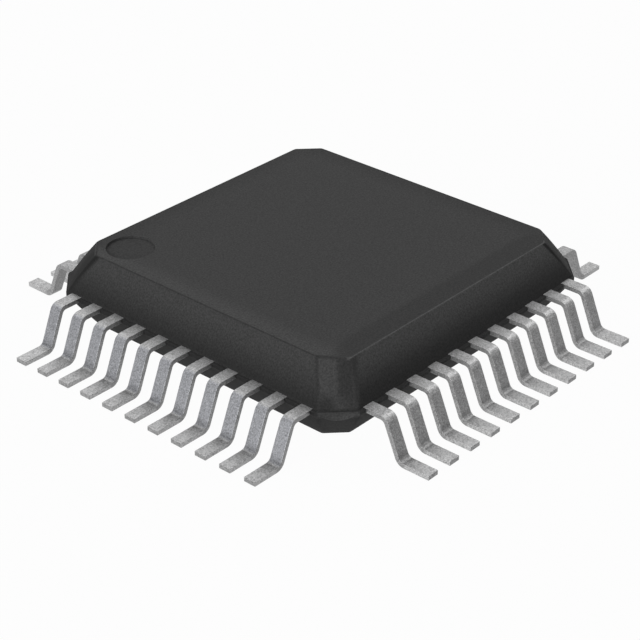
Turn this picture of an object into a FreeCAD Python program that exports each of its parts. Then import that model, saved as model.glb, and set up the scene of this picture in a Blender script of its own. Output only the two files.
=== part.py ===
import FreeCAD, Part

import math
import os

# Quad flat pack chip: a moulded body with eleven gull-wing leads on each of its four sides.
# Millimetres. The origin is the centre of the seating plane, +Z is up, and the pin 1 corner is at -X, +Y.
# Pins are numbered anticlockwise seen from above, from the pin 1 corner down the -X side.

# Lead pattern
PINS_PER_SIDE = 11
PITCH = 0.80
TIP_SPAN = 14.00            # over the tips of two facing rows of leads
LEAD_WIDTH = 0.35
LEAD_THICKNESS = 0.125
FOOT_LENGTH = 0.89          # from the tip to the corner of the heel, along the middle of the strip
DROP_LEAN = 23.0            # degrees that the drop leans out from upright
SHOULDER_BEND = 0.13        # inside radius of the bend at the shoulder
HEEL_BEND = 0.16            # inside radius of the bend at the heel

# Moulded body
BODY_SIDE = 10.20           # over the land at the parting plane
BODY_CORNER = 0.78          # cut off each corner of the land, measured along a side
LAND_STEP = 0.04            # the land stands this far out of the two drafted halves
STANDOFF = 0.05             # from the seating plane to the underside
LOWER_DEPTH = 1.00
UPPER_DEPTH = 0.98
UNDERSIDE_SIDE = 8.70
UNDERSIDE_CORNER = 0.48
TOP_SIDE = 8.82
TOP_CORNER = 0.55

# Marks that the mould leaves
PIN_1_OFFSET = 3.50         # from the centre lines to the middle of the dimple
PIN_1_RADIUS = 0.65
PIN_1_DEPTH = 0.06
EJECTOR_OFFSET = 2.60
EJECTOR_RADIUS = 0.60
EJECTOR_DEPTH = 0.04
SCAR_WIDTH = 0.84           # half-moon gate scar under the land at the -X, -Y corner
SCAR_HEIGHT = 0.14

# Leadframe inside the body
ANCHOR_LENGTH = 0.35        # straight part of a finger behind the land
PAD_SIDE = 4.90
PAD_GAP = 0.55              # from the pad's edge to the tips of the fingers
PAD_DOWNSET = 0.20
FINGER_TIP_PITCH = 0.44
FINGER_TIP_WIDTH = 0.16
TIE_WIDTH = 0.25
TIE_ROOT = 0.15             # flat part of a tie bar beside the pad, before it rises
TIE_SLOPE = 45.0            # degrees
TIE_BEND = 0.10
TIE_COVER = 0.15            # compound left over the end of a tie bar

# Chip, its adhesive and its wires
DIE_SIDE = 3.60
DIE_THICKNESS = 0.30
ADHESIVE_THICKNESS = 0.03
ADHESIVE_BORDER = 0.06      # adhesive pressed out round the die
BOND_PITCH = 0.30
BOND_INSET = 0.12           # from the die's edge to the middle of a ball
WIRE_DIAMETER = 0.03
BALL_DIAMETER = 0.07
BALL_HEIGHT = 0.02
WIRE_RISE = 0.12            # upright part of a wire above the die
WIRE_CREST = 0.17           # highest point of a wire above the die
WIRE_CREST_RUN = 0.10       # how far along the wire its crest lies
STITCH_INSET = 0.18         # from a finger's tip to the end of its wire

# Levels and places that follow from the sizes
land_bottom = STANDOFF + LOWER_DEPTH
land_top = land_bottom + LEAD_THICKNESS
body_top = land_top + UPPER_DEPTH
frame_level = land_bottom + LEAD_THICKNESS / 2
foot_level = LEAD_THICKNESS / 2
pad_level = frame_level - PAD_DOWNSET
land_edge = BODY_SIDE / 2
tip_edge = TIP_SPAN / 2
finger_root = land_edge - ANCHOR_LENGTH
finger_tip = PAD_SIDE / 2 + PAD_GAP
adhesive_bottom = pad_level + LEAD_THICKNESS / 2
die_bottom = adhesive_bottom + ADHESIVE_THICKNESS
die_top = die_bottom + DIE_THICKNESS
finger_top = frame_level + LEAD_THICKNESS / 2

UP = FreeCAD.Vector(0, 0, 1)
WIRE_SIDES = 4
SIDE_NAMES = ["left", "front", "right", "rear"]


def vec(x, y, z):
    return FreeCAD.Vector(x, y, z)


def turned(shape, degrees):
    """A copy of the shape, turned about the vertical centre line."""
    copy = shape.copy()
    copy.rotate(vec(0, 0, 0), UP, degrees)
    return copy


def face_of(points):
    return Part.Face(Part.makePolygon(points + points[:1]))


def solid_of(faces):
    return Part.makeSolid(Part.makeShell(faces))


# Strip metal

def offset_bend(before, corner, after, radius, shift):
    """Start, middle and end of a bend's arc, shifted sideways from the strip's middle line.

    The radius is that of the middle line, and a positive shift is to the left of the direction of travel.
    """
    come = (corner - before).normalize()
    go = (after - corner).normalize()
    turn = come.cross(go)
    side = math.copysign(1, turn.dot(vec(0, -1, 0)))
    angle = come.getAngle(go)
    reach = radius * math.tan(angle / 2)
    left = vec(-come.z, 0, come.x)
    centre = corner - come * reach + left * (radius * side)
    out = (corner - centre).normalize()
    start = centre - left * (side * (radius - side * shift))
    end = centre - vec(-go.z, 0, go.x) * (side * (radius - side * shift))
    middle = centre + out * (radius - side * shift)
    return start, middle, end


def strip_side(path, radii, shift):
    """Edges along one side of a bent strip, from its first end to its last."""
    come = (path[1] - path[0]).normalize()
    here = path[0] + vec(-come.z, 0, come.x) * shift
    edges = []
    for i, radius in enumerate(radii):
        start, middle, end = offset_bend(path[i], path[i + 1], path[i + 2], radius, shift)
        edges.append(Part.makeLine(here, start))
        edges.append(Part.Arc(start, middle, end).toShape())
        here = end
    go = (path[-1] - path[-2]).normalize()
    edges.append(Part.makeLine(here, path[-1] + vec(-go.z, 0, go.x) * shift))
    return edges


def bent_strip(path, inside_radii, thickness, width):
    """Strip of metal bent along a path in the XZ plane, centred on that plane."""
    radii = [r + thickness / 2 for r in inside_radii]
    upper = strip_side(path, radii, thickness / 2)
    lower = strip_side(path, radii, -thickness / 2)
    first = Part.makeLine(lower[0].Vertexes[0].Point, upper[0].Vertexes[0].Point)
    last = Part.makeLine(upper[-1].Vertexes[-1].Point, lower[-1].Vertexes[-1].Point)
    outline = Part.Wire(Part.__sortEdges__(upper + [last] + lower + [first]))
    outline.translate(vec(0, -width / 2, 0))
    return Part.Face(outline).extrude(vec(0, width, 0))


# Leads

def pin_offset(index, pitch):
    return (index - (PINS_PER_SIDE - 1) / 2) * pitch


def finger_middle(x, index):
    """Distance of a finger's middle line from the side's centre line, at a distance x from the body's."""
    share = (x - finger_tip) / (finger_root - finger_tip)
    tip = pin_offset(index, FINGER_TIP_PITCH)
    root = pin_offset(index, PITCH)
    return tip + (root - tip) * share


def finger(index):
    """Flat finger that fans in from the straight part of a lead towards the pad."""
    tip = finger_middle(finger_tip, index)
    root = finger_middle(finger_root, index)
    slant = math.atan2(root - tip, finger_root - finger_tip)
    half_tip = FINGER_TIP_WIDTH / 2 / math.cos(slant)
    outline = [
        vec(finger_tip, tip - half_tip, land_bottom),
        vec(finger_root, root - LEAD_WIDTH / 2, land_bottom),
        vec(finger_root, root + LEAD_WIDTH / 2, land_bottom),
        vec(finger_tip, tip + half_tip, land_bottom),
    ]
    return face_of(outline).extrude(UP * LEAD_THICKNESS)


def lead(index):
    """One lead on the +X side: finger, shoulder, drop, heel and foot in one strip."""
    heel = tip_edge - FOOT_LENGTH
    shoulder = heel - (frame_level - foot_level) * math.tan(math.radians(DROP_LEAN))
    path = [
        vec(finger_root, 0, frame_level),
        vec(shoulder, 0, frame_level),
        vec(heel, 0, foot_level),
        vec(tip_edge, 0, foot_level),
    ]
    wing = bent_strip(path, [SHOULDER_BEND, HEEL_BEND], LEAD_THICKNESS, LEAD_WIDTH)
    wing.translate(vec(0, pin_offset(index, PITCH), 0))
    return wing.fuse(finger(index)).removeSplitter()


# Die pad

def tie_bar():
    """Tie bar along +X: flat beside the pad, up the downset and out towards the corner."""
    pad_corner = PAD_SIDE / math.sqrt(2)
    rise_start = pad_corner + TIE_ROOT
    rise_end = rise_start + PAD_DOWNSET / math.tan(math.radians(TIE_SLOPE))
    corner_face = (BODY_SIDE - BODY_CORNER) / math.sqrt(2)
    path = [
        vec(pad_corner - TIE_WIDTH, 0, pad_level),
        vec(rise_start, 0, pad_level),
        vec(rise_end, 0, frame_level),
        vec(corner_face - TIE_COVER, 0, frame_level),
    ]
    return bent_strip(path, [TIE_BEND, TIE_BEND], LEAD_THICKNESS, TIE_WIDTH)


def die_pad():
    """Square paddle with a tie bar from each corner, in one piece."""
    low = adhesive_bottom - LEAD_THICKNESS
    plate = Part.makeBox(PAD_SIDE, PAD_SIDE, LEAD_THICKNESS, vec(-PAD_SIDE / 2, -PAD_SIDE / 2, low))
    bar = tie_bar()
    return plate.fuse([turned(bar, 45 + 90 * k) for k in range(4)]).removeSplitter()


# Chip and wires

def block(side, bottom, height):
    return Part.makeBox(side, side, height, vec(-side / 2, -side / 2, bottom))


def prism_between(section, path, planes):
    """Sides of a thin wire: its section is carried along the path and cut by the plane at each point."""
    faces = [face_of(section)]
    for here, there, normal in zip(path, path[1:], planes):
        along = (there - here).normalize()
        moved = [p + along * ((there - p).dot(normal) / along.dot(normal)) for p in section]
        for k in range(WIRE_SIDES):
            n = (k + 1) % WIRE_SIDES
            faces.append(face_of([section[k], section[n], moved[n], moved[k]]))
        section = moved
    faces.append(face_of(section))
    return solid_of(faces)


def wire_section(centre, diameter):
    """Level section with a few flats, because a wire this thin needs no rounder one."""
    turns = [2 * math.pi * k / WIRE_SIDES for k in range(WIRE_SIDES)]
    return [centre + vec(math.cos(a), math.sin(a), 0) * (diameter / 2) for a in turns]


def bond_wire(index):
    """Wire from its ball on the die, up, over and down to the top of a finger on the +X side."""
    ball = vec(DIE_SIDE / 2 - BOND_INSET, pin_offset(index, BOND_PITCH), die_top)
    stitch_x = finger_tip + STITCH_INSET
    stitch = vec(stitch_x, finger_middle(stitch_x, index), finger_top)
    level = vec(stitch.x - ball.x, stitch.y - ball.y, 0).normalize()
    path = [
        ball + UP * (BALL_HEIGHT / 2),
        ball + UP * WIRE_RISE,
        ball + UP * WIRE_CREST + level * WIRE_CREST_RUN,
        stitch,
    ]
    steps = [(b - a).normalize() for a, b in zip(path, path[1:])]
    planes = [(a + b).normalize() for a, b in zip(steps, steps[1:])] + [UP]
    wire = prism_between(wire_section(path[0], WIRE_DIAMETER), path, planes)
    bead = face_of(wire_section(ball, BALL_DIAMETER)).extrude(UP * BALL_HEIGHT)
    return wire.fuse(bead)


# Moulded body

def octagon(side, corner, level):
    """Square outline with its corners cut, at one level."""
    far = side / 2
    near = far - corner
    quarter = [vec(far, near, level), vec(near, far, level)]
    return [FreeCAD.Rotation(UP, 90 * k).multVec(p) for k in range(4) for p in quarter]


def drafted_block(low, high):
    """Solid between two outlines with matching corners, with plane drafted sides."""
    faces = [face_of(low), face_of(high)]
    for k in range(len(low)):
        n = (k + 1) % len(low)
        faces.append(face_of([low[k], low[n], high[n], high[k]]))
    return solid_of(faces)


def gate_scar():
    """Half-moon stub under the land at the corner where the compound flowed in.

    It is cut from a round bar that lies along the diagonal, and it ends flush with the land's corner face.
    """
    radius = (SCAR_WIDTH ** 2 / 4 + SCAR_HEIGHT ** 2) / (2 * SCAR_HEIGHT)
    corner_face = (BODY_SIDE - BODY_CORNER) / math.sqrt(2)
    depth = BODY_SIDE - UNDERSIDE_SIDE
    inner_end = corner_face - depth
    bar_middle = vec(inner_end, 0, land_bottom - SCAR_HEIGHT + radius)
    bar = Part.makeCylinder(radius, depth, bar_middle, vec(1, 0, 0))
    below_land = Part.makeBox(depth, 2 * radius, radius, vec(inner_end, -radius, land_bottom - radius))
    return turned(bar.common(below_land), 225)


def mould_marks():
    """Shallow round recesses: the pin 1 dimple in the top and four ejector marks in the underside."""
    dimple_foot = vec(-PIN_1_OFFSET, PIN_1_OFFSET, body_top - PIN_1_DEPTH)
    marks = [Part.makeCylinder(PIN_1_RADIUS, PIN_1_DEPTH, dimple_foot)]
    for x in (-EJECTOR_OFFSET, EJECTOR_OFFSET):
        for y in (-EJECTOR_OFFSET, EJECTOR_OFFSET):
            marks.append(Part.makeCylinder(EJECTOR_RADIUS, EJECTOR_DEPTH, vec(x, y, STANDOFF)))
    return marks


def moulded_body(held):
    """Moulded block with pockets that fit what it holds."""
    half_side = BODY_SIDE - 2 * LAND_STEP
    half_corner = BODY_CORNER - 2 * LAND_STEP * (1 - math.tan(math.radians(22.5)))
    land = face_of(octagon(BODY_SIDE, BODY_CORNER, land_bottom)).extrude(UP * LEAD_THICKNESS)
    lower = drafted_block(
        octagon(UNDERSIDE_SIDE, UNDERSIDE_CORNER, STANDOFF),
        octagon(half_side, half_corner, land_bottom))
    upper = drafted_block(
        octagon(half_side, half_corner, land_top),
        octagon(TOP_SIDE, TOP_CORNER, body_top))
    block_with_land = land.fuse([lower, upper, gate_scar()]).removeSplitter()
    return block_with_land.cut(mould_marks() + held)


def save(name, shape):
    shape.exportStep("parts/" + name + ".step")


def main():
    os.makedirs("parts", exist_ok=True)
    held = []
    for side, side_name in enumerate(SIDE_NAMES):
        turn = 90 * (side - 2)
        wires = []
        for index in range(PINS_PER_SIDE):
            pin = turned(lead(index), turn)
            save("lead_%02d" % (side * PINS_PER_SIDE + index + 1), pin)
            wires.append(turned(bond_wire(index), turn))
            held.append(pin)
        save("bond_wires_" + side_name, Part.makeCompound(wires))
        held.extend(wires)
    inside = {
        "die_pad": die_pad(),
        "die_attach": block(DIE_SIDE + 2 * ADHESIVE_BORDER, adhesive_bottom, ADHESIVE_THICKNESS),
        "die": block(DIE_SIDE, die_bottom, DIE_THICKNESS),
    }
    for name, shape in inside.items():
        save(name, shape)
        held.append(shape)
    save("moulded_body", moulded_body(held))


main()
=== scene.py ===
import math

import bmesh
import bpy
from bpy.props import FloatProperty, FloatVectorProperty, PointerProperty
from mathutils import Matrix, Vector


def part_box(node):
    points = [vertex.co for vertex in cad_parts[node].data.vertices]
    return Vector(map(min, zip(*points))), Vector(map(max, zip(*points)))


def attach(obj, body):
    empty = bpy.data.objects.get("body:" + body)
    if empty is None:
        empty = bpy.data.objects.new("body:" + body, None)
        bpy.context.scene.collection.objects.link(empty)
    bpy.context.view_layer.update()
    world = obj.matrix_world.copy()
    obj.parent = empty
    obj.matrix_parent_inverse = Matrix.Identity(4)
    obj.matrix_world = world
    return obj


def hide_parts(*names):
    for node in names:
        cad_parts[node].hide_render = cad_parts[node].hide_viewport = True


bl_info = {
    "name": "Quad flat pack chip",
    "version": (1, 0, 0),
    "blender": (4, 5, 0),
    "location": "View3D > Sidebar > Chip",
    "description": "Finishes a square surface-mount chip: moulded body, leads, leadframe, die and wires",
    "category": "Add Mesh",
}

MM = 0.001
SIDES = 4
INSIDE_WIRES = ["bond_wires_left", "bond_wires_front", "bond_wires_right", "bond_wires_rear"]

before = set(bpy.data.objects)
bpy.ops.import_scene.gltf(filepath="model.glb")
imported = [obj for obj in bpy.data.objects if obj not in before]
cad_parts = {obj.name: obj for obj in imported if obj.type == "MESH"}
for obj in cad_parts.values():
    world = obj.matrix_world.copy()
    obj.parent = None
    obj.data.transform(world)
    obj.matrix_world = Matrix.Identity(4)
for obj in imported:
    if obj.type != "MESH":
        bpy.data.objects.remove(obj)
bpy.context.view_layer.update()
body_low, body_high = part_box("moulded_body")
LEAD_NODES = sorted(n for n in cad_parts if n.startswith("lead_"))
PINS_PER_SIDE = len(LEAD_NODES) // SIDES
# The middle lead of the -X row is straight, so its box gives the strip's width and reach.
middle_lead = LEAD_NODES[PINS_PER_SIDE // 2]
lead_low, lead_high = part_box(middle_lead)


def length(name, description, default):
    return FloatProperty(name=name, description=description, default=default, unit="LENGTH",
                         subtype="DISTANCE", precision=6)


def share(name, description, default):
    return FloatProperty(name=name, description=description, default=default, min=0.0, max=1.0,
                         subtype="FACTOR")


def colour(name, description, default):
    return FloatVectorProperty(name=name, description=description, default=default, size=3, min=0.0, max=1.0,
                               subtype="COLOR")


def angle(name, description, degrees):
    return FloatProperty(name=name, description=description, default=math.radians(degrees), subtype="ANGLE")


def watts(name, description, default):
    return FloatProperty(name=name, description=description, default=default, min=0.0)


def one_tone(name, description, default):
    """How light a surface is against the plain colour of its material, which is 1."""
    return FloatProperty(name=name, description=description, default=default, min=0.0)


def four(name, description, default):
    return FloatVectorProperty(name=name, description=description, default=default, size=SIDES, min=0.0,
                               precision=5)


def each_side(name, description, default):
    return four(name, description + " (-X, -Y, +X, +Y)", default)


class ChipLeads(bpy.types.PropertyGroup):
    pitch: length("Pitch", "Distance from one lead to the next", 0.8 * MM)
    width: length("Width", "Width of the strip", lead_high.y - lead_low.y)
    thickness: length("Thickness", "Thickness of the strip", 0.125 * MM)
    tip: length("Tip reach", "From the centre line to the lead tips", -lead_low.x)
    shoulder_top: length("Shoulder height", "Top of the shoulders above the floor", lead_high.z)
    foot: length("Foot length", "From the tip to the corner of the heel", 0.89 * MM)
    lean: angle("Drop lean", "How far the drop leans out from upright", 23.0)
    shoulder_bend: length("Shoulder bend", "Inside radius of the bend at the shoulder", 0.13 * MM)
    heel_bend: length("Heel bend", "Inside radius of the bend at the heel", 0.16 * MM)
    root: length("Root depth", "How far the strip runs on behind the body's face", 0.35 * MM)
    edge: length("Edge rounding", "Rounding of the stamped edges", 0.010 * MM)
    tint: colour("Tin", "Colour of the matte tin plating", (0.281, 0.281, 0.282))
    # Painted cool reflection: the drops of the -X row take this bluer colour in place of the tin's own.
    reflection_tint: colour("Cool tin", "Colour of the plating on the drops of the -X row", (0.264, 0.268, 0.283))
    # Painted shade along each lead: darker beside the body, in the shoulder bend and in the heel.
    root_shade: share("Root tone", "Tone of the tin where a lead leaves the body", 0.79)
    shoulder_shade: share("Shoulder tone", "Tone of the tin in the bend of the shoulder", 0.86)
    heel_shade: share("Heel tone", "Tone of the tin in the bend of the heel", 0.63)
    foot_shade: share("Foot tone", "Tone of the tin on the drop and on the foot beside the heel", 0.93)
    # Painted light and shade by the way each face looks: steep faces, heels, soles and sheared sides.
    facing_light_tones: each_side("Face tones", "Tone of the steep faces that look each way",
                          (1.04, 0.80, 0.90, 0.90))
    heel_light_tones: each_side("Heel tones", "Tone of the steeper part of each row's heels",
                          (0.88, 1.22, 1.00, 1.00))
    sole_shade_tones: each_side("Sole tones", "Tone of each row's heels where they run into the feet",
                          (1.00, 0.79, 1.00, 1.00))
    cut_light_tone: one_tone("Cut tone", "Tone of the sheared sides of the shoulders and drops", 1.19)
    foot_cut_light_tone: one_tone("Foot cut tone", "Tone of the sheared sides of the feet", 1.56)


class ChipBody(bpy.types.PropertyGroup):
    land_side: length("Land side", "Side of the body over the land at the parting plane", 2 * body_high.x)
    land_corner: length("Land corner", "Cut off each corner of the land", 0.78 * MM)
    land_step: length("Land step", "How far the land stands out of the lower half", 0.04 * MM)
    land_drop: length("Land drop", "How far the land's top lies under the top of the leads", 0.01 * MM)
    upper_foot: length("Upper foot", "Side of the upper half where it stands on the land", 10.03 * MM)
    upper_corner: length("Upper foot corner", "Cut off each corner of the upper half's foot", 0.667 * MM)
    underside: length("Underside", "Side of the flat underside", 8.76 * MM)
    underside_corner: length("Underside corner", "Cut off each corner of the underside", 0.48 * MM)
    top_side: length("Top", "Side of the top face", 8.82 * MM)
    top_corner: length("Top corner", "Cut off each corner of the top face", 0.55 * MM)
    bottom: length("Underside height", "Height of the underside above the floor", body_low.z)
    top: length("Top height", "Height of the top face, a little under the lip round it",
                body_high.z - 0.003 * MM)
    bulge: length("Side bulge", "How far the drafted sides swell in their middle", 0.015 * MM)
    rim: length("Rim width", "Width of the border that slopes off round the top", 0.76 * MM)
    rim_slope: angle("Rim slope", "How steeply that border slopes", 0.3)
    lip: length("Lip height", "Height of the fine lip along the top edge", 0.006 * MM)
    soft: length("Corner softness", "Blend between a side and a cut corner", 0.016 * MM)
    near_left: length("-X, -Y corner, -X side", "Cut off the -X side of the top at that corner", 0.70 * MM)
    near_right: length("-X, -Y corner, -Y side", "Cut off the -Y side of the top at that corner", 0.47 * MM)
    column: length("Column half width", "Half width of the swelling on each upper cut corner", 0.45 * MM)
    column_swell: length("Column swelling", "How far that swelling stands out", 0.03 * MM)
    column_groove: length("Column groove", "Depth of the fine grooves beside it", 0.010 * MM)
    dimple_offset: length("Dimple offset", "From the centre lines to the middle of the dimple", 3.5 * MM)
    dimple_radius: length("Dimple radius", "Radius of the pin 1 dimple", 0.65 * MM)
    dimple_depth: length("Dimple depth", "Depth of the pin 1 dimple", 0.06 * MM)
    ejector_offset: length("Ejector offset", "From the centre lines to an ejector mark", 2.6 * MM)
    ejector_radius: length("Ejector radius", "Radius of an ejector mark", 0.6 * MM)
    ejector_depth: length("Ejector depth", "Depth of an ejector mark", 0.04 * MM)
    scar_width: length("Scar width", "Width of the gate scar under the land", 0.84 * MM)
    scar_height: length("Scar height", "Height of the gate scar under the land", 0.14 * MM)
    compound: colour("Compound", "Colour of the moulding compound", (0.055, 0.055, 0.055))
    # Painted highlight and shade on the top: the fine line along each edge and the sloping border, lighter or
    # darker by side.
    edge_line_light_tones: each_side("Edge tones", "Tone of the fine line along each top edge", (0.60, 1.85, 0.60, 0.60))
    border_light_tones: each_side("Border tones", "Tone of each sloping border of the top",
                            (1.30, 0.77, 0.82, 0.86))
    border_fades: each_side("Border fades", "Metres from the edge at which each border starts to fade",
                            (0.15 * MM, 0.55 * MM, 0.05 * MM, 0.05 * MM))
    # Painted light and shade on the drafted sides: lighter or darker by side under the top edge, darker
    # towards the land.
    side_top_light_tones: each_side("Upper side tones", "Tone of each drafted side under the top edge",
                          (0.925, 1.55, 1.10, 1.10))
    side_foot_shade_tones: each_side("Side foot tones", "Tone of each drafted side beside the land",
                         (0.36, 0.53, 0.45, 0.45))
    low_starts: each_side("Side foot starts", "Share of its depth at which each side reaches that tone",
                          (1.10, 0.86, 1.00, 1.00))
    # Painted light and shade on the cut corners: lit and shaded parts of each column, its groove and strip,
    # and each corner lighter or darker by the way it looks.
    column_lit_tone: one_tone("Column light tone", "Tone of the left part of each corner column", 1.16)
    column_shaded_tone: one_tone("Column dark tone", "Tone of the right part of each corner column", 0.68)
    column_foot: one_tone("Column foot tone", "Tone of the foot of each corner column", 1.0)
    strip_light_tone: one_tone("Strip tone", "Tone of the strip on the right of each corner column", 0.98)
    groove_shade_tone: one_tone("Groove tone", "Tone of the fine groove on the left of each corner column", 0.70)
    corner_light_tones: four("Corner tones", "Tone of each cut corner, anticlockwise from the -X, -Y one",
                       (1.0, 0.30, 0.70, 0.26))
    dimple_tone: one_tone("Dimple tone", "Tone of the pin 1 dimple's floor", 0.86)
    # Painted shade on the ledge, on the land between the leads and over the cut corners, on the fine line
    # along the top of each cut corner, and on the lower half.
    ledge_shade_tone: one_tone("Ledge tone", "Tone of the narrow ledge on top of the land", 0.54)
    land_shade_tones: each_side("Land tones", "Tone of the land between the leads", (0.38, 0.98, 0.70, 0.70))
    cut_land_shade_tone: one_tone("Cut land tone", "Tone of the land over each cut corner", 0.52)
    cut_edge_shade_tone: one_tone("Cut edge tone", "Tone of the fine line along the top of each cut corner", 0.75)
    lower_shade_tone: one_tone("Lower half tone", "Tone of the drafted sides under the land", 0.30)
    # Painted highlight on the right lower edge of the gate scar's face and painted shade on the cut corners
    # of the lower half under it.
    scar_tone: one_tone("Scar tone", "Tone of the broken face of the gate scar", 0.93)
    scar_edge_highlight_tone: one_tone("Scar edge tone", "Tone of that face's right lower edge", 1.35)
    under_scar_shade_tone: one_tone("Tone under the scar", "Tone of the cut corners of the lower half", 0.78)


class ChipStage(bpy.types.PropertyGroup):
    azimuth: angle("Camera azimuth", "Direction the camera looks from, about +Z", -48.5)
    elevation: angle("Camera elevation", "Height of the camera above the horizon", 30.0)
    distance: length("Camera distance", "From the camera to the point it looks at", 45.9 * MM)
    lens: FloatProperty(name="Lens", description="Focal length in millimetres on a 36 mm sensor",
                        default=102.75, min=1.0)
    aim: FloatVectorProperty(name="Aim", description="Point in the middle of the picture",
                             default=(-1.962 * MM, -1.706 * MM, 1.3 * MM), size=3, subtype="TRANSLATION",
                             precision=6)
    floor: colour("Floor", "Colour of the floor and backdrop", (0.60, 0.60, 0.60))
    sky: share("Sky light", "Strength of the even light from all round", 0.02)
    left_watts: watts("Left light", "Power of the low lamp on the left of the picture", 0.76)
    right_watts: watts("Right light", "Power of the lamp on the right of the picture", 0.24)
    back_watts: watts("Back light", "Power of the lamp behind the chip", 0.32)


# Meshes

def mesh_object(name, mesh):
    """A new object in the scene that holds the mesh."""
    piece = bpy.data.objects.new(name, mesh)
    bpy.context.scene.collection.objects.link(piece)
    return piece


def mesh_from(name, bm):
    """The bmesh as a mesh, its faces pointing outwards."""
    bmesh.ops.recalc_face_normals(bm, faces=bm.faces)
    mesh = bpy.data.meshes.new(name)
    bm.to_mesh(mesh)
    bm.free()
    return mesh


def finished_mesh(piece):
    """The object's mesh with its modifiers applied, as plain data."""
    graph = bpy.context.evaluated_depsgraph_get()
    return bpy.data.meshes.new_from_object(piece.evaluated_get(graph))


def smooth_by_angle(mesh, degrees):
    mesh.shade_smooth()
    mesh.set_sharp_from_angle(angle=math.radians(degrees))


def soft_least(first, second, softness):
    """The lesser of two values, blended where they are nearly equal."""
    return -softness * math.log(math.exp(-first / softness) + math.exp(-second / softness))


def outline(side, cuts, level, soft, column=None):
    """Points of a square outline with cut corners.

    The cuts are those of the plain corners and, for the -X, -Y corner, those off its -Y and -X sides. A
    column is a slight swelling of each cut corner between two fine grooves: half width, swelling and groove
    depth. Only the corners have points, closest together over the cut, so the sides between are straight.
    """
    reach = 0.66 * MM
    steps_beside = 8
    steps_over = 28
    groove_width = 0.025 * MM
    corner, right, left = cuts
    points = []
    for quarter in range(SIDES):
        low, high = (right, left) if quarter == 2 else (corner, corner)
        ends = (-low / math.sqrt(2), high / math.sqrt(2))
        across = [ends[0] - (reach + ends[0]) * k / steps_beside for k in range(steps_beside, 0, -1)]
        across += [ends[0] + (ends[1] - ends[0]) * k / steps_over for k in range(steps_over + 1)]
        across += [ends[1] + (reach - ends[1]) * k / steps_beside for k in range(1, steps_beside + 1)]
        face = []
        for t in across:
            cut = (side - high) / math.sqrt(2) + (t - ends[1]) * (low - high) / (low + high)
            out = soft_least(cut, side / math.sqrt(2) - abs(t), soft)
            if column:
                half, swell, groove = column
                out += swell * max(0.0, 1 - (t / half) ** 2)
                out -= groove * math.exp(-((abs(t) - half) / groove_width) ** 2)
            face.append(Vector(((out + t) / math.sqrt(2), (out - t) / math.sqrt(2), level)))
        points += [Matrix.Rotation(math.pi / 2 * quarter, 3, "Z") @ p for p in reversed(face)]
    return points


def inset(side, cuts, distance):
    """Side and corner cuts of the outline that lies a distance inside another."""
    return side - 2 * distance, [cut - (2 - math.sqrt(2)) * distance for cut in cuts]


def rim_fall(b, distance):
    """How far the top has fallen at a distance in from its edge: an even slope that fades into the flat."""
    slope = math.tan(b.rim_slope)
    bend = 0.16 * MM
    if distance >= b.rim:
        return 0.0
    if distance > b.rim - bend:
        return slope * (b.rim - distance) ** 2 / (2 * bend)
    return slope * (b.rim - distance - bend / 2)


def body_rings(b, land_bottom, land_top):
    """Outlines of the moulded body, from the edge of the underside up to the flat middle of the top."""
    rings = []

    def ring(side, cuts, level, column=None):
        rings.append(outline(side, cuts, level, b.soft, column))

    def between(low, high, s, swell=0.0, column=None):
        side = low[0] + (high[0] - low[0]) * s
        cuts = [p + (q - p) * s for p, q in zip(low[1], high[1])]
        level = low[2] + (high[2] - low[2]) * s
        ring(*inset(side, cuts, -swell), level, column)

    # Lower half, up from the softened edge of the underside
    under = (b.underside, [b.underside_corner] * 3)
    for distance, rise in ((0.03 * MM, 0.0), (0.006 * MM, 0.002 * MM)):
        ring(*inset(*under, distance), b.bottom + rise)
    land = (b.land_side, [b.land_corner] * 3)
    lower_top = (*inset(*land, b.land_step), land_bottom)
    for s in (0.04, 0.2, 0.4, 0.6, 0.8, 1.0):
        between((*under, b.bottom), lower_top, s, b.bulge * 4 * s * (1 - s))

    # Land, with fine chamfers
    chamfer = 0.012 * MM
    ring(*inset(*land, chamfer), land_bottom)
    ring(*land, land_bottom + chamfer)
    ring(*land, land_top - chamfer)
    ring(*inset(*land, chamfer), land_top)

    # Upper half, with the columns on its cut corners
    upper_foot = (b.upper_foot, [b.upper_corner] * 3, land_top)
    top = (b.top_side, [b.top_corner, b.near_right, b.near_left])
    top_edge = (*top, b.top - rim_fall(b, 0.0))
    for s in (0.0, 0.06, 0.12, 0.2, 0.3, 0.4, 0.5, 0.6, 0.7, 0.8, 0.9, 0.95, 0.985):
        column = (b.column, b.column_swell * 4 * s * (1 - s), b.column_groove * min(1.0, 4 * s))
        between(upper_foot, top_edge, s, b.bulge * 4 * s * (1 - s), column)

    # Lip along the top edge, each ring with its distance from the edge and its share of the lip's height
    lip_end = 0.09 * MM
    lip = ((0.010 * MM, 0.8), (0.022 * MM, 1.0), (0.036 * MM, 0.3), (0.052 * MM, 0.0), (lip_end, 0.0))
    for distance, rise in lip:
        ring(*inset(*top, distance), b.top - rim_fall(b, distance) + b.lip * rise)

    # Sloping border, up to the flat
    border_steps = 14
    for step in range(1, border_steps + 1):
        distance = lip_end + (b.rim - lip_end) * step / border_steps
        ring(*inset(*top, distance), b.top - rim_fall(b, distance))
    return rings


def blend(start, end, value):
    """Rises smoothly from 0 at the start to 1 at the end."""
    t = min(1.0, max(0.0, (value - start) / (end - start)))
    return t * t * (3 - 2 * t)


def mixed(first, second, part):
    return first + (second - first) * part


def nearest_side(values, p, half):
    """One of four values, that of the nearest side, blended where two sides are about as near."""
    softness = 0.10 * MM
    gaps = (p.x + half, p.y + half, half - p.x, half - p.y)
    weights = [math.exp(-max(0.0, gap) / softness) for gap in gaps]
    return sum(weight * value for weight, value in zip(weights, values)) / sum(weights)


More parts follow.
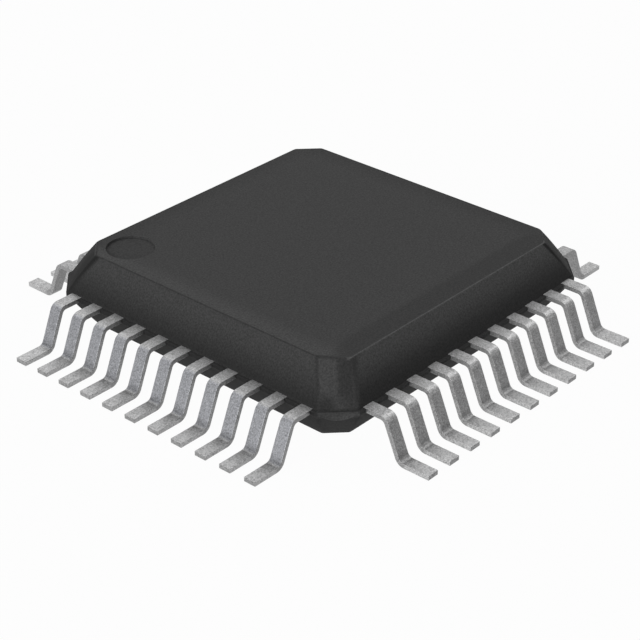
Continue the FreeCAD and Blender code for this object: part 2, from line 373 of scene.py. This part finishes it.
def nearest_corner(p):
    """Number of the nearest cut corner, anticlockwise from the -X, -Y one."""
    return round(math.atan2(-p.y, -p.x) / (math.pi / 2) - 0.5) % SIDES


def across_corner(p):
    """How far a point lies from the middle of the nearest cut corner, to the right as seen from outside."""
    turned = Matrix.Rotation(-math.pi / 2 * nearest_corner(p), 3, "Z") @ p
    return (turned.x - turned.y) / math.sqrt(2)


def top_light_and_shade(b, p):
    """Painted light and shade on the top: a fine lighter or darker line at the edge, then the sloping border,
    lighter on -X and darker on the other sides, then the plain middle.
    """
    half = b.top_side / 2
    near_cut = (b.near_left + b.near_right) / 2
    cut = near_cut if p.x + p.y < 0 and abs(p.x - p.y) < half else b.top_corner
    lean = (b.near_left - b.near_right) / (b.near_left + b.near_right) if p.x + p.y < -half else 0.0
    from_side = half - max(abs(p.x), abs(p.y))
    from_cut = (b.top_side - cut - abs(p.x) * (1 + lean) - abs(p.y) * (1 - lean)) / math.sqrt(2)
    distance = min(from_side, from_cut)
    by_cut = blend(0.03 * MM, 0.12 * MM, from_side - distance)
    edge = mixed(nearest_side(b.edge_line_light_tones, p, half), b.cut_edge_shade_tone, by_cut)
    border = nearest_side(b.border_light_tones, p, half)
    line = mixed(edge, border, blend(0.025 * MM, 0.055 * MM, distance))
    fade = nearest_side(b.border_fades, p, half)
    return mixed(line, 1.0, blend(fade, b.rim + 0.04 * MM, distance))


def upper_side_light_and_shade(b, p, depth):
    """Painted light and shade on the drafted sides of the upper half, from the top edge (depth 0) to the land
    (depth 1): lighter or darker by side under the edge, darker towards the land.
    """
    half = mixed(b.top_side, b.upper_foot, depth) / 2
    high = nearest_side(b.side_top_light_tones, p, half)
    low = nearest_side(b.side_foot_shade_tones, p, half)
    return mixed(high, low, blend(0.07, nearest_side(b.low_starts, p, half), depth))


def column_light_and_shade(b, across, depth):
    """Painted light and shade on the column of a cut corner: lit left part, shaded right part, mixed foot,
    shaded groove and lit strip.
    """
    foot_middle = 0.08 * MM
    foot_edge = 0.58 * b.column_foot
    strip_foot = 0.85 * b.strip_light_tone
    column = mixed(b.column_lit_tone, b.column_shaded_tone, blend(-0.07 * MM, 0.10 * MM, across))
    foot = mixed(b.column_foot, foot_edge, blend(0.03 * MM, 0.36 * MM, abs(across - foot_middle)))
    column = mixed(column, foot, blend(0.55, 0.90, depth))
    if across < 0:
        return mixed(b.groove_shade_tone, column, blend(0.01 * MM, 0.05 * MM, abs(across + b.column)))
    strip = mixed(b.strip_light_tone, strip_foot, blend(0.5, 0.9, depth))
    return mixed(column, strip, blend(0.32 * MM, 0.38 * MM, across))


def upper_half_light_and_shade(b, p, land_top):
    """Painted light and shade on the upper half between the top edge and the land, each cut corner lighter or
    darker by the way it looks.
    """
    depth = (b.top - p.z) / (b.top - land_top)
    across = across_corner(p)
    corner = column_light_and_shade(b, across, depth) * b.corner_light_tones[nearest_corner(p)]
    fade = (0.05 if across < 0 else 0.12) * MM
    return mixed(corner, upper_side_light_and_shade(b, p, depth), blend(b.column, b.column + fade, abs(across)))


def body_light_and_shade(b, p, land_bottom, land_top):
    """How light the compound is at a point, against its plain colour: painted light and shade over most of
    the body, and a darker dimple floor.
    """
    hair = 0.001 * MM
    scar_reach = 0.50 * MM
    from_dimple = math.hypot(p.x + b.dimple_offset, p.y - b.dimple_offset)
    if p.z > b.top - b.dimple_depth - hair and from_dimple < b.dimple_radius - 0.01 * MM:
        return b.dimple_tone
    if p.z > b.top - 0.03 * MM and max(abs(p.x), abs(p.y)) < b.top_side / 2 + hair:
        return top_light_and_shade(b, p)
    if p.z > land_top + hair:
        return upper_half_light_and_shade(b, p, land_top)
    # Painted shade on the ledge on top of the land.
    if p.z > land_top - hair:
        return b.ledge_shade_tone
    across = across_corner(p)
    by_scar = p.x + p.y < b.land_corner - b.land_side + 0.1 * MM and abs(across) < scar_reach
    # Painted highlight towards the right lower edge of the gate scar's face.
    if by_scar and p.z > land_bottom - b.scar_height - hair:
        edge = mixed(b.scar_tone, b.scar_edge_highlight_tone, blend(-0.35 * MM, 0.40 * MM, across))
        return mixed(edge, b.scar_tone, blend(land_bottom + 0.01 * MM, land_top - 0.02 * MM, p.z))
    # Painted shade on the land between the leads and over the cut corners.
    if p.z > land_bottom - hair:
        side = nearest_side(b.land_shade_tones, p, b.land_side / 2)
        return mixed(b.cut_land_shade_tone, side, blend(scar_reach, scar_reach + 0.10 * MM, abs(across)))
    # Painted shade on the lower half, darker up towards the land under the gate scar.
    if p.z > b.bottom + 0.01 * MM:
        cut = mixed(b.under_scar_shade_tone, 0.7 * b.under_scar_shade_tone, blend(b.bottom, land_bottom, p.z))
        return mixed(cut, b.lower_shade_tone, blend(scar_reach - 0.16 * MM, scar_reach, abs(across)))
    return 1.0


def paint_points(mesh, name, value):
    """Keeps a value for every point of the mesh, which the piece's material reads by its name."""
    layer = mesh.attributes.new(name, "FLOAT", "POINT")
    layer.data.foreach_set("value", [value(point.co) for point in mesh.vertices])


def paint_faces(mesh, name, value):
    """Keeps a value for every face of the mesh, which the piece's material reads by its name."""
    layer = mesh.attributes.new(name, "FLOAT", "FACE")
    layer.data.foreach_set("value", [value(face.center, face.normal) for face in mesh.polygons])


def lofted(rings):
    """Closed bmesh through a stack of rings with as many points each, capped at both ends."""
    bm = bmesh.new()
    loops = [[bm.verts.new(p) for p in ring] for ring in rings]
    count = len(loops[0])
    for low, high in zip(loops, loops[1:]):
        for k in range(count):
            n = (k + 1) % count
            bm.faces.new((low[k], low[n], high[n], high[k]))
    bm.faces.new(list(reversed(loops[0])))
    bm.faces.new(loops[-1])
    return bm


def recess_plug(centre, radius, depth, taper):
    """Round plug that cuts a shallow recess, narrower at its foot by the taper."""
    steps = 72
    over = 0.05 * MM
    rings = []
    for level, r in ((-depth, radius - taper), (over, radius + taper * over / depth)):
        turns = [2 * math.pi * k / steps for k in range(steps)]
        rings.append([centre + Vector((r * math.cos(a), r * math.sin(a), level)) for a in turns])
    return lofted(rings)


def gate_stub(b, land_bottom):
    """Half-moon stub under the land at the -X, -Y corner, its face a hair behind the land's."""
    steps = 20
    set_back = 0.004 * MM
    chamfer = 0.015 * MM
    radius = (b.scar_width ** 2 / 4 + b.scar_height ** 2) / (2 * b.scar_height)
    reach = math.asin(b.scar_width / 2 / radius)
    face = (b.land_side - b.land_corner) / math.sqrt(2) - set_back
    back = face - (b.land_side - b.underside) / 2
    middle = land_bottom - b.scar_height + radius
    high = land_bottom + 0.03 * MM
    rings = []
    for distance, shrink in ((back, 0.0), (face - chamfer, 0.0), (face, chamfer)):
        r = radius - shrink
        points = []
        for k in range(steps + 1):
            a = -reach + 2 * reach * k / steps
            points.append(Vector((r * math.sin(a), -distance, middle - r * math.cos(a))))
        points.append(Vector((r * math.sin(reach), -distance, high)))
        points.append(Vector((-r * math.sin(reach), -distance, high)))
        rings.append([Matrix.Rotation(-math.pi / 4, 3, "Z") @ p for p in points])
    return lofted(rings)


def lead_light_and_shade(s, p, normal):
    """Painted light and shade on one face of a lead, by its place on the strip and the way that it looks:
    sheared sides, heels, soles and steep faces lighter or darker by the side they look to.
    """
    looks = (-normal.x, -normal.y, normal.x, normal.y)
    facing = looks.index(max(looks))
    along_row = normal.y if abs(p.x) > abs(p.y) else normal.x
    on_cut = abs(along_row) > 0.7
    if on_cut:
        return s.facing_light_tones[facing] * (s.foot_cut_light_tone if p.z < s.thickness else s.cut_light_tone)
    steepness = 1 - abs(normal.z)
    in_heel = p.z < s.shoulder_top / 2 and 0.001 < steepness < 0.45
    if in_heel:
        return mixed(s.sole_shade_tones[facing], s.heel_light_tones[facing], blend(0.10, 0.40, steepness))
    return mixed(1.0, s.facing_light_tones[facing], blend(0.45, 0.60, steepness))


def reflection_share(s, p, normal):
    """How much of the painted cool reflection one face of a lead takes: all of it on the drops of the -X row.
    """
    if -p.x < abs(p.y) or p.z < s.thickness:
        return 0.0
    return blend(0.30, 0.60, -normal.x)


def carve(piece, tool_bm, operation):
    """Cuts a tool out of a piece, or joins it on, and leaves the piece without modifiers."""
    tool = mesh_object("tool", mesh_from("tool", tool_bm))
    modifier = piece.modifiers.new("carve", "BOOLEAN")
    modifier.object = tool
    modifier.operation = operation
    modifier.solver = "EXACT"
    result = finished_mesh(piece)
    piece.modifiers.remove(modifier)
    old = piece.data
    piece.data = result
    bpy.data.meshes.remove(old)
    bpy.data.objects.remove(tool)


# Shader nodes

def add_node(tree, kind, **values):
    """A new node with these settings and unlinked inputs."""
    node = tree.nodes.new(kind)
    for name, value in values.items():
        if name in node.bl_rna.properties and not node.bl_rna.properties[name].is_readonly:
            setattr(node, name, value)
        else:
            node.inputs[name].default_value = value
    return node


def math_node(tree, operation, first, second=None):
    """A Math node; each operand is a number or another node's output."""
    node = add_node(tree, "ShaderNodeMath", operation=operation)
    for socket, value in zip(node.inputs, (first, second)):
        if isinstance(value, bpy.types.NodeSocket):
            tree.links.new(value, socket)
        elif value is not None:
            socket.default_value = value
    return node.outputs[0]


def speckle_group():
    """Fine speckle over broader clouds, shared by every finish. The value is 1 on average."""
    name = "speckle"
    if name in bpy.data.node_groups:
        return bpy.data.node_groups[name]
    tree = bpy.data.node_groups.new(name, "ShaderNodeTree")
    sockets = (("Grain size", 0.03 * MM), ("Grain amount", 0.1),
               ("Cloud size", 0.6 * MM), ("Cloud amount", 0.03))
    for label, default in sockets:
        socket = tree.interface.new_socket(label, in_out="INPUT", socket_type="NodeSocketFloat")
        socket.default_value = default
    for label in ("Value", "Grain"):
        tree.interface.new_socket(label, in_out="OUTPUT", socket_type="NodeSocketFloat")
    inputs = tree.nodes.new("NodeGroupInput")
    outputs = tree.nodes.new("NodeGroupOutput")
    place = tree.nodes.new("ShaderNodeTexCoord")
    parts = []
    for size, amount, detail in (("Grain size", "Grain amount", 2.0), ("Cloud size", "Cloud amount", 3.0)):
        noise = add_node(tree, "ShaderNodeTexNoise", Detail=detail, Roughness=0.6)
        tree.links.new(place.outputs["Object"], noise.inputs["Vector"])
        tree.links.new(math_node(tree, "DIVIDE", 1.0, inputs.outputs[size]), noise.inputs["Scale"])
        centred = math_node(tree, "SUBTRACT", noise.outputs["Fac"], 0.5)
        parts.append(math_node(tree, "MULTIPLY", centred, inputs.outputs[amount]))
        if size == "Grain size":
            tree.links.new(noise.outputs["Fac"], outputs.inputs["Grain"])
    both = math_node(tree, "ADD", parts[0], parts[1])
    tree.links.new(math_node(tree, "ADD", both, 1.0), outputs.inputs["Value"])
    return tree


def new_material(name, roughness, metallic):
    """Empty material with a Principled shader wired to its output."""
    material = bpy.data.materials.new(name)
    material.use_nodes = True
    tree = material.node_tree
    tree.nodes.clear()
    output = tree.nodes.new("ShaderNodeOutputMaterial")
    shader = add_node(tree, "ShaderNodeBsdfPrincipled", Roughness=roughness, Metallic=metallic)
    tree.links.new(shader.outputs["BSDF"], output.inputs["Surface"])
    return material, tree, shader


def speckle(tree, grain_size, grain_amount, cloud_size, cloud_amount):
    """The speckle group placed in a material with its own sizes and amounts."""
    node = tree.nodes.new("ShaderNodeGroup")
    node.node_tree = speckle_group()
    values = (grain_size, grain_amount, cloud_size, cloud_amount)
    for socket, value in zip(node.inputs, values):
        socket.default_value = value
    return node


def tinted(tree, tint, value):
    """A tint, fixed or from another node, times a value that changes over the surface."""
    mix = add_node(tree, "ShaderNodeMix", data_type="RGBA", blend_type="MULTIPLY")
    mix.inputs["Factor"].default_value = 1.0
    if isinstance(tint, bpy.types.NodeSocket):
        tree.links.new(tint, mix.inputs["A"])
    else:
        mix.inputs["A"].default_value = (*tint, 1.0)
    tree.links.new(value, mix.inputs["B"])
    return mix.outputs["Result"]


def bumped(tree, shader, height, distance, strength):
    bump = add_node(tree, "ShaderNodeBump", Strength=strength, Distance=distance)
    tree.links.new(height, bump.inputs["Height"])
    tree.links.new(bump.outputs["Normal"], shader.inputs["Normal"])


def painted(tree, name):
    """Values that were painted on the mesh under this name."""
    return add_node(tree, "ShaderNodeAttribute", attribute_name=name).outputs["Fac"]


def compound_material(b):
    """Matte filled epoxy with a fine grain, made lighter and darker by the light and shade painted on the
    mesh.
    """
    material, tree, shader = new_material("dark_compound", roughness=0.80, metallic=0.0)
    shader.inputs["Specular IOR Level"].default_value = 0.12
    grain = speckle(tree, grain_size=0.045 * MM, grain_amount=1.4, cloud_size=0.9 * MM, cloud_amount=0.05)
    tone = math_node(tree, "MULTIPLY", grain.outputs["Value"], painted(tree, "tone"))
    tree.links.new(tinted(tree, b.compound, tone), shader.inputs["Base Color"])
    bumped(tree, shader, grain.outputs["Grain"], distance=0.004 * MM, strength=0.6)
    return material


def metal_material(name, tint, roughness, metallic, grain_size, grain_amount):
    """Plain metal with fine mottling in its colour."""
    material, tree, shader = new_material(name, roughness, metallic)
    mottle = speckle(tree, grain_size, grain_amount, 8 * grain_size, grain_amount / 6)
    tree.links.new(tinted(tree, tint, mottle.outputs["Value"]), shader.inputs["Base Color"])
    bumped(tree, shader, mottle.outputs["Grain"], distance=grain_size / 12, strength=0.5)
    return material


def shade_along_lead(tree, s, face):
    """Painted shade along a lead, from the body's face to the tip, by the distance from the middle: darker
    beside the body, in the shoulder and in the heel, lightest at the tip.
    """
    place = tree.nodes.new("ShaderNodeTexCoord")
    split = tree.nodes.new("ShaderNodeSeparateXYZ")
    tree.links.new(place.outputs["Object"], split.inputs[0])
    x, y = (math_node(tree, "ABSOLUTE", split.outputs[axis]) for axis in "XY")
    out = math_node(tree, "MAXIMUM", x, y)
    run = math_node(tree, "DIVIDE", math_node(tree, "SUBTRACT", out, face), s.tip - face)
    heel = s.tip - s.foot
    stops = ((face, s.root_shade), (face + 0.50 * MM, s.shoulder_shade), (heel - 0.05 * MM, s.foot_shade),
             (heel + 0.02 * MM, s.heel_shade), (heel + 0.12 * MM, s.heel_shade * 1.08),
             (heel + 0.21 * MM, s.foot_shade), (s.tip, 1.0))
    ramp = tree.nodes.new("ShaderNodeValToRGB")
    points = ramp.color_ramp.elements
    while len(points) < len(stops):
        points.new(0.5)
    for point, (distance, tone) in zip(points, stops):
        point.position = (distance - face) / (s.tip - face)
        point.color = (tone, tone, tone, 1.0)
    tree.links.new(run, ramp.inputs["Fac"])
    return ramp.outputs["Color"]


def tin_material(s, face):
    """Matte tin, finely mottled, with painted shade beside the body and in the heels, painted light and shade
    on its faces, and a painted cool reflection on the drops of the -X row.
    """
    material, tree, shader = new_material("matte_tin", roughness=0.42, metallic=0.9)
    mottle = speckle(tree, grain_size=0.036 * MM, grain_amount=2.1, cloud_size=0.3 * MM, cloud_amount=0.20)
    tone = math_node(tree, "MULTIPLY", shade_along_lead(tree, s, face), painted(tree, "tone"))
    tone = math_node(tree, "MULTIPLY", tone, mottle.outputs["Value"])
    tint = add_node(tree, "ShaderNodeMix", data_type="RGBA", blend_type="MIX")
    tree.links.new(painted(tree, "painted_cool_reflection"), tint.inputs["Factor"])
    tint.inputs["A"].default_value = (*s.tint, 1.0)
    tint.inputs["B"].default_value = (*s.reflection_tint, 1.0)
    tree.links.new(tinted(tree, tint.outputs["Result"], tone), shader.inputs["Base Color"])
    bumped(tree, shader, mottle.outputs["Grain"], distance=0.003 * MM, strength=0.5)
    return material


# Geometry nodes for the leads

def node_input(tree, label, kind):
    tree.interface.new_socket(label, in_out="INPUT", socket_type=kind)


def wired(tree, source, node, name):
    tree.links.new(source, node.inputs[name])


def lead_tree():
    """One gull-wing strip swept along its path, repeated along a side and turned to all four sides."""
    tree = bpy.data.node_groups.new("gull_wing_leads", "GeometryNodeTree")
    for label in ("Root", "Shoulder", "Heel", "Tip", "Shoulder level", "Foot level", "Width", "Thickness",
                  "Shoulder radius", "Heel radius", "Pitch"):
        node_input(tree, label, "NodeSocketFloat")
    node_input(tree, "Leads a side", "NodeSocketInt")
    node_input(tree, "Bend steps", "NodeSocketInt")
    node_input(tree, "Material", "NodeSocketMaterial")
    tree.interface.new_socket("Geometry", in_out="OUTPUT", socket_type="NodeSocketGeometry")
    given = tree.nodes.new("NodeGroupInput").outputs
    output = tree.nodes.new("NodeGroupOutput")

    def point(x, z):
        node = tree.nodes.new("ShaderNodeCombineXYZ")
        wired(tree, given[x], node, "X")
        wired(tree, given[z], node, "Z")
        return node.outputs[0]

    # Path of one lead in the X, Z plane: four corners, the two inner ones rounded
    corners = [point("Root", "Shoulder level"), point("Shoulder", "Shoulder level"),
               point("Heel", "Foot level"), point("Tip", "Foot level")]
    index = tree.nodes.new("GeometryNodeInputIndex").outputs[0]
    pick = add_node(tree, "GeometryNodeIndexSwitch", data_type="VECTOR")
    while len(pick.index_switch_items) < len(corners):
        pick.index_switch_items.new()
    wired(tree, index, pick, "Index")
    for k, corner in enumerate(corners):
        tree.links.new(corner, pick.inputs[k + 1])
    line = add_node(tree, "GeometryNodeMeshLine", Count=len(corners))
    path = tree.nodes.new("GeometryNodeMeshToCurve")
    wired(tree, line.outputs[0], path, "Mesh")
    placed = tree.nodes.new("GeometryNodeSetPosition")
    wired(tree, path.outputs[0], placed, "Geometry")
    wired(tree, pick.outputs[0], placed, "Position")

    at_shoulder = add_node(tree, "FunctionNodeCompare", data_type="INT", operation="EQUAL")
    tree.links.new(index, at_shoulder.inputs[2])
    at_shoulder.inputs[3].default_value = 1
    radius = add_node(tree, "GeometryNodeSwitch", input_type="FLOAT")
    wired(tree, at_shoulder.outputs[0], radius, "Switch")
    wired(tree, given["Heel radius"], radius, "False")
    wired(tree, given["Shoulder radius"], radius, "True")
    bent = add_node(tree, "GeometryNodeFilletCurve", mode="POLY")
    wired(tree, placed.outputs[0], bent, "Curve")
    wired(tree, given["Bend steps"], bent, "Count")
    wired(tree, radius.outputs[0], bent, "Radius")
    upright = add_node(tree, "GeometryNodeSetCurveNormal", mode="Z_UP")
    wired(tree, bent.outputs[0], upright, "Curve")

    # Strip swept along it
    section = tree.nodes.new("GeometryNodeCurvePrimitiveQuadrilateral")
    wired(tree, given["Width"], section, "Width")
    wired(tree, given["Thickness"], section, "Height")
    strip = add_node(tree, "GeometryNodeCurveToMesh")
    wired(tree, upright.outputs[0], strip, "Curve")
    wired(tree, section.outputs[0], strip, "Profile Curve")
    strip.inputs["Fill Caps"].default_value = True

    # One row of strips
    step = tree.nodes.new("ShaderNodeCombineXYZ")
    wired(tree, given["Pitch"], step, "Y")
    count = given["Leads a side"]
    gaps = math_node(tree, "SUBTRACT", count, 1.0)
    start_y = math_node(tree, "MULTIPLY", math_node(tree, "MULTIPLY", gaps, given["Pitch"]), -0.5)
    start = tree.nodes.new("ShaderNodeCombineXYZ")
    wired(tree, start_y, start, "Y")
    row = tree.nodes.new("GeometryNodeMeshLine")
    wired(tree, count, row, "Count")
    wired(tree, start.outputs[0], row, "Start Location")
    wired(tree, step.outputs[0], row, "Offset")
    side = tree.nodes.new("GeometryNodeInstanceOnPoints")
    wired(tree, row.outputs[0], side, "Points")
    wired(tree, strip.outputs[0], side, "Instance")

    # Four rows, each turned by a quarter
    quarter_turns = add_node(tree, "GeometryNodeMeshLine", Count=SIDES)
    quarter_turns.inputs["Offset"].default_value = (0.0, 0.0, 0.0)
    turn = tree.nodes.new("ShaderNodeCombineXYZ")
    wired(tree, math_node(tree, "MULTIPLY", index, math.pi / 2), turn, "Z")
    all_sides = tree.nodes.new("GeometryNodeInstanceOnPoints")
    wired(tree, quarter_turns.outputs[0], all_sides, "Points")
    wired(tree, side.outputs[0], all_sides, "Instance")
    wired(tree, turn.outputs[0], all_sides, "Rotation")

    real = tree.nodes.new("GeometryNodeRealizeInstances")
    wired(tree, all_sides.outputs[0], real, "Geometry")
    plated = tree.nodes.new("GeometryNodeSetMaterial")
    wired(tree, real.outputs[0], plated, "Geometry")
    wired(tree, given["Material"], plated, "Material")
    tree.links.new(plated.outputs[0], output.inputs[0])
    return tree


def made_by_nodes(name, tree, values):
    """Plain mesh that the node tree makes from these named inputs."""
    carrier = mesh_object(name + "_carrier", bpy.data.meshes.new(name + "_carrier"))
    modifier = carrier.modifiers.new("Nodes", "NODES")
    modifier.node_group = tree
    for item in tree.interface.items_tree:
        if item.item_type == "SOCKET" and item.in_out == "INPUT":
            modifier[item.identifier] = values[item.name]
    mesh = finished_mesh(carrier)
    mesh.name = name
    for slot in reversed(range(len(mesh.materials))):
        if mesh.materials[slot] is None:
            mesh.materials.pop(index=slot)
    modifier.node_group = None
    carrier.modifiers.remove(modifier)
    bpy.data.objects.remove(carrier)
    return mesh


# Operators

class CHIP_OT_body(bpy.types.Operator):
    """Build the moulded body with its land, pin 1 dimple, ejector marks and gate scar"""
    bl_idname = "chip.body"
    bl_label = "Moulded body"

    def execute(self, context):
        b = context.scene.chip_body
        leads = context.scene.chip_leads
        land_top = leads.shoulder_top - b.land_drop
        land_bottom = leads.shoulder_top - leads.thickness
        piece = mesh_object("body", mesh_from("body", lofted(body_rings(b, land_bottom, land_top))))
        dimple = Vector((-b.dimple_offset, b.dimple_offset, b.top))
        carve(piece, recess_plug(dimple, b.dimple_radius, b.dimple_depth, 0.02 * MM), "DIFFERENCE")
        for x in (-b.ejector_offset, b.ejector_offset):
            for y in (-b.ejector_offset, b.ejector_offset):
                plug = recess_plug(Vector((0, 0, 0)), b.ejector_radius, b.ejector_depth, 0.015 * MM)
                bmesh.ops.rotate(plug, verts=plug.verts, matrix=Matrix.Rotation(math.pi, 3, "X"))
                bmesh.ops.translate(plug, verts=plug.verts, vec=Vector((x, y, b.bottom)))
                carve(piece, plug, "DIFFERENCE")
        carve(piece, gate_stub(b, land_bottom), "UNION")
        smooth_by_angle(piece.data, degrees=24)
        # Painted light and shade of the compound, kept at every point.
        paint_points(piece.data, "tone", lambda p: body_light_and_shade(b, p, land_bottom, land_top))
        piece.data.materials.clear()
        piece.data.materials.append(compound_material(b))
        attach(piece, "root")
        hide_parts("moulded_body")
        return {"FINISHED"}


class CHIP_OT_leads(bpy.types.Operator):
    """Build the gull-wing leads on all four sides"""
    bl_idname = "chip.leads"
    bl_label = "Leads"

    def execute(self, context):
        s = context.scene.chip_leads
        b = context.scene.chip_body
        half = s.thickness / 2
        level = s.shoulder_top - half
        heel = s.tip - s.foot
        shoulder = heel - (level - half) * math.tan(s.lean)
        tin = tin_material(s, b.land_side / 2)
        mesh = made_by_nodes("leads", lead_tree(), {
            "Root": b.land_side / 2 - s.root, "Shoulder": shoulder, "Heel": heel, "Tip": s.tip,
            "Shoulder level": level, "Foot level": half, "Width": s.width, "Thickness": s.thickness,
            "Shoulder radius": s.shoulder_bend + half, "Heel radius": s.heel_bend + half, "Pitch": s.pitch,
            "Leads a side": PINS_PER_SIDE, "Bend steps": 10, "Material": tin})
        smooth_by_angle(mesh, degrees=40)
        # Painted light and shade on the faces of the leads.
        paint_faces(mesh, "tone", lambda p, normal: lead_light_and_shade(s, p, normal))
        # Painted cool reflection on the drops of the -X row.
        paint_faces(mesh, "painted_cool_reflection", lambda p, normal: reflection_share(s, p, normal))
        piece = mesh_object("leads", mesh)
        bevel = piece.modifiers.new("Stamped edges", "BEVEL")
        bevel.width = s.edge
        bevel.segments = 2
        bevel.limit_method = "ANGLE"
        bevel.angle_limit = math.radians(40)
        bevel.harden_normals = True
        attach(piece, "root")
        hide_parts(*LEAD_NODES)
        return {"FINISHED"}


class CHIP_OT_inside(bpy.types.Operator):
    """Finish the die pad, adhesive, die and bond wires inside the body"""
    bl_idname = "chip.inside"
    bl_label = "Inside pieces"

    def execute(self, context):
        copper = metal_material("bare_copper", (0.72, 0.43, 0.28), roughness=0.35, metallic=1.0,
                                grain_size=0.06 * MM, grain_amount=0.2)
        silicon = metal_material("bare_silicon", (0.16, 0.17, 0.20), roughness=0.15, metallic=0.6,
                                 grain_size=0.2 * MM, grain_amount=0.06)
        adhesive = metal_material("silver_adhesive", (0.60, 0.60, 0.58), roughness=0.6, metallic=0.3,
                                  grain_size=0.04 * MM, grain_amount=0.5)
        gold = metal_material("gold_wire", (0.90, 0.68, 0.26), roughness=0.25, metallic=1.0,
                              grain_size=0.05 * MM, grain_amount=0.08)
        finishes = {"die_pad": copper, "die": silicon, "die_attach": adhesive}
        finishes.update({wires: gold for wires in INSIDE_WIRES})
        for node, material in finishes.items():
            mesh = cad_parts[node].data
            mesh.materials.clear()
            mesh.materials.append(material)
        return {"FINISHED"}


def seen_directly(tree):
    """1 where the camera, a reflection or a clear material sees the surface, and 0 for other light."""
    path = tree.nodes.new("ShaderNodeLightPath")
    seen = math_node(tree, "MAXIMUM", path.outputs["Is Camera Ray"], path.outputs["Is Glossy Ray"])
    return math_node(tree, "MAXIMUM", seen, path.outputs["Is Transmission Ray"])


def floor_material(tint):
    """Pale floor that keeps a trace of the shadow, shown near white to the camera and in reflections."""
    whiteness = 0.97
    material, tree, shader = new_material("floor", roughness=0.9, metallic=0.0)
    shader.inputs["Base Color"].default_value = (*tint, 1.0)
    shader.inputs["Specular IOR Level"].default_value = 0.0
    glow = add_node(tree, "ShaderNodeEmission", Strength=1.0)
    mix = tree.nodes.new("ShaderNodeMixShader")
    tree.links.new(math_node(tree, "MULTIPLY", seen_directly(tree), whiteness), mix.inputs["Fac"])
    tree.links.new(shader.outputs["BSDF"], mix.inputs[1])
    tree.links.new(glow.outputs[0], mix.inputs[2])
    output = next(n for n in tree.nodes if n.type == "OUTPUT_MATERIAL")
    tree.links.new(mix.outputs[0], output.inputs["Surface"])
    return material


def white_world(strength):
    """Even grey light from all round, and plain white where the camera or a reflection sees it."""
    world = bpy.data.worlds.new("Studio")
    world.use_nodes = True
    tree = world.node_tree
    tree.nodes.clear()
    light = add_node(tree, "ShaderNodeBackground", Strength=strength)
    white = add_node(tree, "ShaderNodeBackground", Strength=1.0)
    for background in (light, white):
        background.inputs["Color"].default_value = (1.0, 1.0, 1.0, 1.0)
    mix = tree.nodes.new("ShaderNodeMixShader")
    tree.links.new(seen_directly(tree), mix.inputs["Fac"])
    tree.links.new(light.outputs[0], mix.inputs[1])
    tree.links.new(white.outputs[0], mix.inputs[2])
    output = tree.nodes.new("ShaderNodeOutputWorld")
    tree.links.new(mix.outputs[0], output.inputs["Surface"])
    return world


def aimed(kind, name, place, target):
    """New light or camera object at a place, pointing at a target."""
    thing = bpy.data.objects.new(name, kind)
    thing.location = place
    thing.rotation_euler = (target - place).to_track_quat("-Z", "Y").to_euler()
    bpy.context.scene.collection.objects.link(thing)
    return thing


def softbox(name, direction, width, height, power):
    """Rectangular lamp 0.3 m from the chip, in this direction and turned to it."""
    lamp = bpy.data.lights.new(name, "AREA")
    lamp.shape = "RECTANGLE"
    lamp.size = width
    lamp.size_y = height
    lamp.energy = power
    chip_middle = Vector((0, 0, 1 * MM))
    aimed(lamp, name, chip_middle + Vector(direction).normalized() * 0.30, chip_middle)


class CHIP_OT_stage(bpy.types.Operator):
    """Set up the pale floor, the soft light and the camera"""
    bl_idname = "chip.stage"
    bl_label = "Stage"

    def execute(self, context):
        s = context.scene.chip_stage
        bm = bmesh.new()
        bmesh.ops.create_circle(bm, cap_ends=True, segments=64, radius=0.6)
        floor = mesh_object("floor", mesh_from("floor", bm))
        floor.data.materials.append(floor_material(s.floor))
        context.scene.world = white_world(s.sky)
        softbox("left_light", (-0.929, -0.147, 0.342), width=0.26, height=0.16, power=s.left_watts)
        softbox("right_light", (0.679, -0.059, 0.731), width=0.16, height=0.16, power=s.right_watts)
        softbox("back_light", (0.222, 0.671, 0.707), width=0.40, height=0.16, power=s.back_watts)
        level_reach = math.cos(s.elevation)
        towards_camera = Vector((math.sin(s.azimuth) * level_reach, -math.cos(s.azimuth) * level_reach,
                                 math.sin(s.elevation)))
        lens = bpy.data.cameras.new("camera")
        lens.lens = s.lens
        lens.sensor_width = 36.0
        lens.clip_start = 0.001
        lens.clip_end = 10.0
        aim = Vector(s.aim)
        context.scene.camera = aimed(lens, "camera", aim + towards_camera * s.distance, aim)
        context.scene.view_settings.view_transform = "Standard"
        return {"FINISHED"}


class CHIP_PT_panel(bpy.types.Panel):
    """Buttons and sizes for the chip"""
    bl_idname = "CHIP_PT_panel"
    bl_label = "Quad flat pack chip"
    bl_space_type = "VIEW_3D"
    bl_region_type = "UI"
    bl_category = "Chip"

    def draw(self, context):
        for operator, group in ((CHIP_OT_body, "chip_body"), (CHIP_OT_leads, "chip_leads"),
                                (CHIP_OT_inside, None), (CHIP_OT_stage, "chip_stage")):
            box = self.layout.box()
            box.operator(operator.bl_idname)
            settings = getattr(context.scene, group) if group else None
            for name in settings.__annotations__ if settings else ():
                box.prop(settings, name)


SETTINGS = {"chip_body": ChipBody, "chip_leads": ChipLeads, "chip_stage": ChipStage}
CLASSES = (ChipLeads, ChipBody, ChipStage, CHIP_OT_body, CHIP_OT_leads, CHIP_OT_inside, CHIP_OT_stage,
           CHIP_PT_panel)


def register():
    for cls in CLASSES:
        bpy.utils.register_class(cls)
    for name, group in SETTINGS.items():
        setattr(bpy.types.Scene, name, PointerProperty(type=group))


def unregister():
    for name in SETTINGS:
        delattr(bpy.types.Scene, name)
    for cls in reversed(CLASSES):
        bpy.utils.unregister_class(cls)


def main():
    register()
    bpy.ops.chip.body()
    bpy.ops.chip.leads()
    bpy.ops.chip.inside()
    bpy.ops.chip.stage()


if __name__ == "__main__":
    main()
